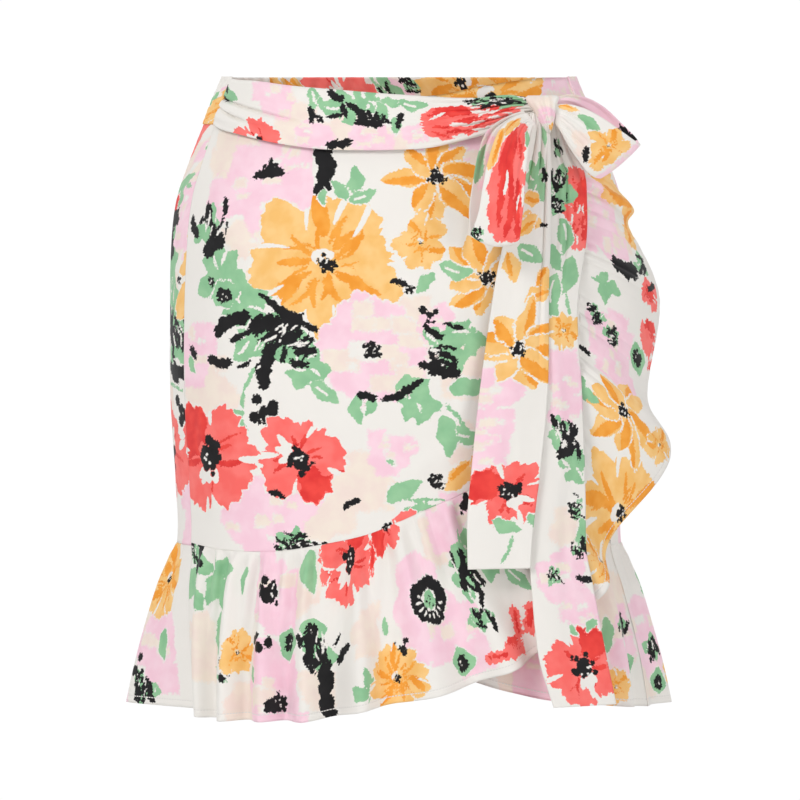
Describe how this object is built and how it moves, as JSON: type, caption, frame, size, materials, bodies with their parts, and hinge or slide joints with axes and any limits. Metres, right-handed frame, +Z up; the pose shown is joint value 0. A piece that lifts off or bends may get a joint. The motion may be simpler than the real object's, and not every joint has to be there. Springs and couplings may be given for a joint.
{
  "type": "wrap skirt",
  "caption": "Short tulip wrap skirt in light woven cloth, filled out, with a gathered ruffle edge, an elastic back waist and a tie bow.",
  "frame": {"origin": "centre of the waist ring at the level of its side seams, where the wearer holds the skirt", "axes": "+X towards the side of the bow, -Y towards the front, +Z up"},
  "size_m": [0.3905, 0.29, 0.4574],
  "materials": {
    "skirt_cloth": "light woven cloth, matt, printed with large painted flowers on off-white",
    "tie_cloth": "the same printed cloth, doubled as ties"
  },
  "bodies": {
    "root": {"overlap_panel": "skirt_cloth", "underlap_panel": "skirt_cloth", "back_panel": "skirt_cloth", "back_waistband": "skirt_cloth", "overlap_ruffle": "skirt_cloth", "underlap_ruffle": "skirt_cloth", "back_ruffle": "skirt_cloth", "sash_left": "tie_cloth", "sash_right": "tie_cloth", "knot": "tie_cloth", "bow_loop_left": "tie_cloth", "bow_loop_right": "tie_cloth", "tail_front": "tie_cloth", "tail_back": "tie_cloth"}
  },
  "joints": []
}
